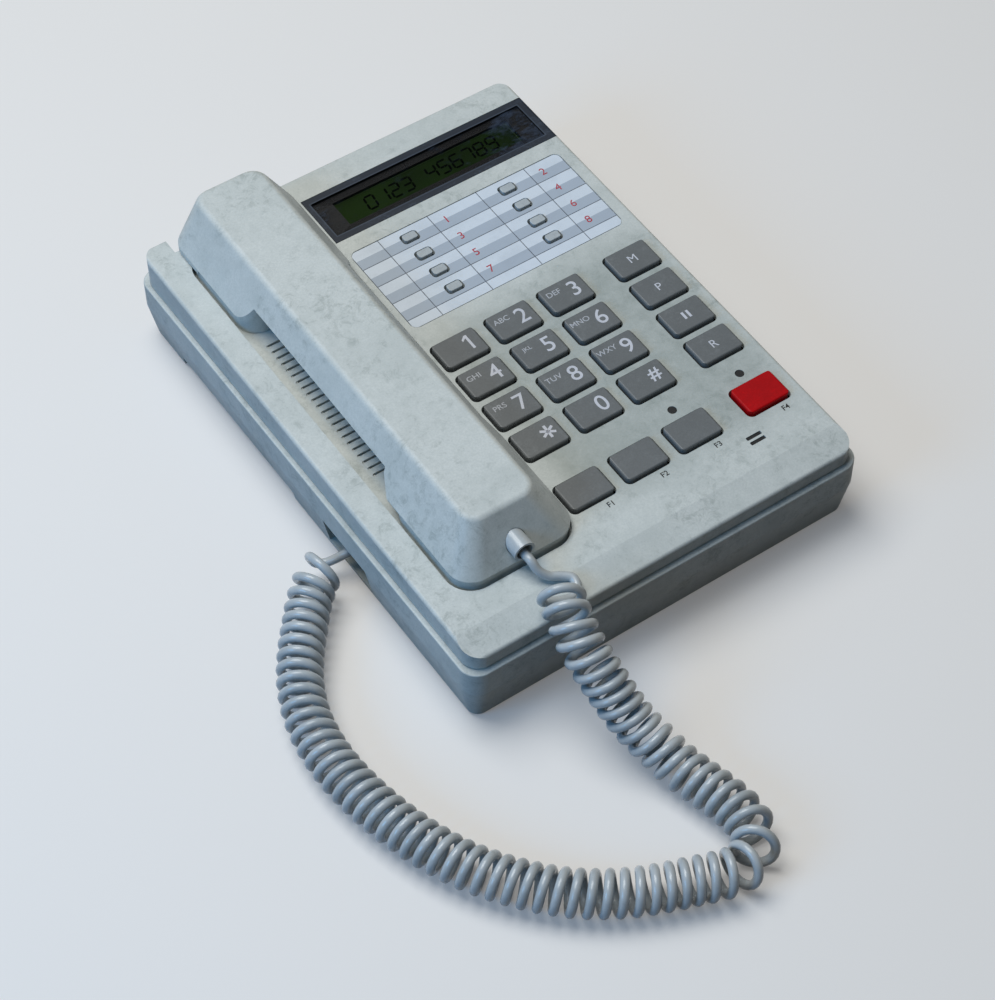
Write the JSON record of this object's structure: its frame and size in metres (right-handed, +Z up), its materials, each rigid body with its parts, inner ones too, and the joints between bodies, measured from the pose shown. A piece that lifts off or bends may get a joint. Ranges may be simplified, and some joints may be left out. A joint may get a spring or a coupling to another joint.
{
  "type": "corded desk telephone",
  "caption": "Corded desk telephone: low grey base with a dial keypad, one-touch card, display strip and speaker grille, and a handset in its well on a curly cord.",
  "frame": {"origin": "on the table under the middle of the base, at the height of the feet's lower faces", "axes": "+X to the right of the keypad, +Y to the back where the display is, +Z up"},
  "size_m": [0.219, 0.3222, 0.0605],
  "materials": {
    "shell_plastic": "pale grey moulded plastic with a fine grain, soiled by use",
    "foot_rubber": "soft moulded rubber",
    "screw_steel": "zinc-plated steel",
    "board": "glass-fibre board with solder mask",
    "key_plastic": "dark grey satin plastic",
    "red_plastic": "red satin plastic",
    "bezel_plastic": "dark slate plastic",
    "window_glass": "clear moulded window",
    "lcd": "dark green liquid-crystal panel",
    "card_paper": "printed paper card",
    "black_plastic": "black moulded plastic",
    "cord_vinyl": "glossy pale grey vinyl",
    "plug_plastic": "clear moulded plastic"
  },
  "bodies": {
    "base": {"base_tray": "shell_plastic", "top_housing": "shell_plastic", "rubber_feet": "foot_rubber", "key_mat": "foot_rubber", "housing_screws": "screw_steel", "board_screws": "screw_steel", "circuit_board": "board", "display_bezel": "bezel_plastic", "display_window": "window_glass", "lcd_panel": "lcd", "index_card": "card_paper", "indicator_lenses": "black_plastic", "deck_microphone": "black_plastic", "hook_switch": "black_plastic", "handset_jack": "black_plastic", "line_jack": "black_plastic", "loudspeaker": "black_plastic", "handset_cord": "cord_vinyl", "handset_plug": "plug_plastic"},
    "handset": {"handset_upper_shell": "shell_plastic", "handset_lower_shell": "shell_plastic", "ear_receiver": "black_plastic", "mouth_microphone": "screw_steel", "handset_weight": "screw_steel", "handset_screws": "screw_steel", "cord_boot": "cord_vinyl"},
    "hook": {"hook_plunger": "key_plastic"},
    "key_1_body": {"key_1": "key_plastic"},
    "key_2_body": {"key_2": "key_plastic"},
    "key_3_body": {"key_3": "key_plastic"},
    "key_4_body": {"key_4": "key_plastic"},
    "key_5_body": {"key_5": "key_plastic"},
    "key_6_body": {"key_6": "key_plastic"},
    "key_7_body": {"key_7": "key_plastic"},
    "key_8_body": {"key_8": "key_plastic"},
    "key_9_body": {"key_9": "key_plastic"},
    "key_star_body": {"key_star": "key_plastic"},
    "key_0_body": {"key_0": "key_plastic"},
    "key_hash_body": {"key_hash": "key_plastic"},
    "key_memory_body": {"key_memory": "key_plastic"},
    "key_program_body": {"key_program": "key_plastic"},
    "key_pause_body": {"key_pause": "key_plastic"},
    "key_redial_body": {"key_redial": "key_plastic"},
    "key_flash_body": {"key_flash": "key_plastic"},
    "key_mute_body": {"key_mute": "key_plastic"},
    "key_hold_body": {"key_hold": "key_plastic"},
    "key_speaker_body": {"key_speaker": "red_plastic"},
    "memory_key_1_body": {"memory_key_1": "shell_plastic"},
    "memory_key_2_body": {"memory_key_2": "shell_plastic"},
    "memory_key_3_body": {"memory_key_3": "shell_plastic"},
    "memory_key_4_body": {"memory_key_4": "shell_plastic"},
    "memory_key_5_body": {"memory_key_5": "shell_plastic"},
    "memory_key_6_body": {"memory_key_6": "shell_plastic"},
    "memory_key_7_body": {"memory_key_7": "shell_plastic"},
    "memory_key_8_body": {"memory_key_8": "shell_plastic"}
  },
  "joints": [
    {"name": "handset_lift", "type": "slide", "parent": "base", "child": "handset", "axis": [0, -0.0192, 0.9998], "range_m": [0, 0.1]},
    {"name": "hook_travel", "type": "slide", "parent": "base", "child": "hook", "axis": [0, -0.0192, 0.9998], "range_m": [0, 0.004]},
    {"name": "key_1_press", "type": "slide", "parent": "base", "child": "key_1_body", "axis": [0, 0.0192, -0.9998], "range_m": [0, 0.0013], "stiffness_N_per_m": 400, "springref_m": -0.002},
    {"name": "key_2_press", "type": "slide", "parent": "base", "child": "key_2_body", "axis": [0, 0.0192, -0.9998], "range_m": [0, 0.0013], "stiffness_N_per_m": 400, "springref_m": -0.002},
    {"name": "key_3_press", "type": "slide", "parent": "base", "child": "key_3_body", "axis": [0, 0.0192, -0.9998], "range_m": [0, 0.0013], "stiffness_N_per_m": 400, "springref_m": -0.002},
    {"name": "key_4_press", "type": "slide", "parent": "base", "child": "key_4_body", "axis": [0, 0.0192, -0.9998], "range_m": [0, 0.0013], "stiffness_N_per_m": 400, "springref_m": -0.002},
    {"name": "key_5_press", "type": "slide", "parent": "base", "child": "key_5_body", "axis": [0, 0.0192, -0.9998], "range_m": [0, 0.0013], "stiffness_N_per_m": 400, "springref_m": -0.002},
    {"name": "key_6_press", "type": "slide", "parent": "base", "child": "key_6_body", "axis": [0, 0.0192, -0.9998], "range_m": [0, 0.0013], "stiffness_N_per_m": 400, "springref_m": -0.002},
    {"name": "key_7_press", "type": "slide", "parent": "base", "child": "key_7_body", "axis": [0, 0.0192, -0.9998], "range_m": [0, 0.0013], "stiffness_N_per_m": 400, "springref_m": -0.002},
    {"name": "key_8_press", "type": "slide", "parent": "base", "child": "key_8_body", "axis": [0, 0.0192, -0.9998], "range_m": [0, 0.0013], "stiffness_N_per_m": 400, "springref_m": -0.002},
    {"name": "key_9_press", "type": "slide", "parent": "base", "child": "key_9_body", "axis": [0, 0.0192, -0.9998], "range_m": [0, 0.0013], "stiffness_N_per_m": 400, "springref_m": -0.002},
    {"name": "key_star_press", "type": "slide", "parent": "base", "child": "key_star_body", "axis": [0, 0.0192, -0.9998], "range_m": [0, 0.0013], "stiffness_N_per_m": 400, "springref_m": -0.002},
    {"name": "key_0_press", "type": "slide", "parent": "base", "child": "key_0_body", "axis": [0, 0.0192, -0.9998], "range_m": [0, 0.0013], "stiffness_N_per_m": 400, "springref_m": -0.002},
    {"name": "key_hash_press", "type": "slide", "parent": "base", "child": "key_hash_body", "axis": [0, 0.0192, -0.9998], "range_m": [0, 0.0013], "stiffness_N_per_m": 400, "springref_m": -0.002},
    {"name": "key_memory_press", "type": "slide", "parent": "base", "child": "key_memory_body", "axis": [0, 0.0192, -0.9998], "range_m": [0, 0.0013], "stiffness_N_per_m": 400, "springref_m": -0.002},
    {"name": "key_program_press", "type": "slide", "parent": "base", "child": "key_program_body", "axis": [0, 0.0192, -0.9998], "range_m": [0, 0.0013], "stiffness_N_per_m": 400, "springref_m": -0.002},
    {"name": "key_pause_press", "type": "slide", "parent": "base", "child": "key_pause_body", "axis": [0, 0.0192, -0.9998], "range_m": [0, 0.0013], "stiffness_N_per_m": 400, "springref_m": -0.002},
    {"name": "key_redial_press", "type": "slide", "parent": "base", "child": "key_redial_body", "axis": [0, 0.0192, -0.9998], "range_m": [0, 0.0013], "stiffness_N_per_m": 400, "springref_m": -0.002},
    {"name": "key_flash_press", "type": "slide", "parent": "base", "child": "key_flash_body", "axis": [0, 0.0192, -0.9998], "range_m": [0, 0.0013], "stiffness_N_per_m": 400, "springref_m": -0.002},
    {"name": "key_mute_press", "type": "slide", "parent": "base", "child": "key_mute_body", "axis": [0, 0.0192, -0.9998], "range_m": [0, 0.0013], "stiffness_N_per_m": 400, "springref_m": -0.002},
    {"name": "key_hold_press", "type": "slide", "parent": "base", "child": "key_hold_body", "axis": [0, 0.0192, -0.9998], "range_m": [0, 0.0013], "stiffness_N_per_m": 400, "springref_m": -0.002},
    {"name": "key_speaker_press", "type": "slide", "parent": "base", "child": "key_speaker_body", "axis": [0, 0.0192, -0.9998], "range_m": [0, 0.0013], "stiffness_N_per_m": 400, "springref_m": -0.002},
    {"name": "memory_key_1_press", "type": "slide", "parent": "base", "child": "memory_key_1_body", "axis": [0, 0.0192, -0.9998], "range_m": [0, 0.0008], "stiffness_N_per_m": 400, "springref_m": -0.0015},
    {"name": "memory_key_2_press", "type": "slide", "parent": "base", "child": "memory_key_2_body", "axis": [0, 0.0192, -0.9998], "range_m": [0, 0.0008], "stiffness_N_per_m": 400, "springref_m": -0.0015},
    {"name": "memory_key_3_press", "type": "slide", "parent": "base", "child": "memory_key_3_body", "axis": [0, 0.0192, -0.9998], "range_m": [0, 0.0008], "stiffness_N_per_m": 400, "springref_m": -0.0015},
    {"name": "memory_key_4_press", "type": "slide", "parent": "base", "child": "memory_key_4_body", "axis": [0, 0.0192, -0.9998], "range_m": [0, 0.0008], "stiffness_N_per_m": 400, "springref_m": -0.0015},
    {"name": "memory_key_5_press", "type": "slide", "parent": "base", "child": "memory_key_5_body", "axis": [0, 0.0192, -0.9998], "range_m": [0, 0.0008], "stiffness_N_per_m": 400, "springref_m": -0.0015},
    {"name": "memory_key_6_press", "type": "slide", "parent": "base", "child": "memory_key_6_body", "axis": [0, 0.0192, -0.9998], "range_m": [0, 0.0008], "stiffness_N_per_m": 400, "springref_m": -0.0015},
    {"name": "memory_key_7_press", "type": "slide", "parent": "base", "child": "memory_key_7_body", "axis": [0, 0.0192, -0.9998], "range_m": [0, 0.0008], "stiffness_N_per_m": 400, "springref_m": -0.0015},
    {"name": "memory_key_8_press", "type": "slide", "parent": "base", "child": "memory_key_8_body", "axis": [0, 0.0192, -0.9998], "range_m": [0, 0.0008], "stiffness_N_per_m": 400, "springref_m": -0.0015}
  ],
  "couplings": [
    {"joint": "hook_travel", "follows": "handset_lift", "ratio": 0.04}
  ]
}
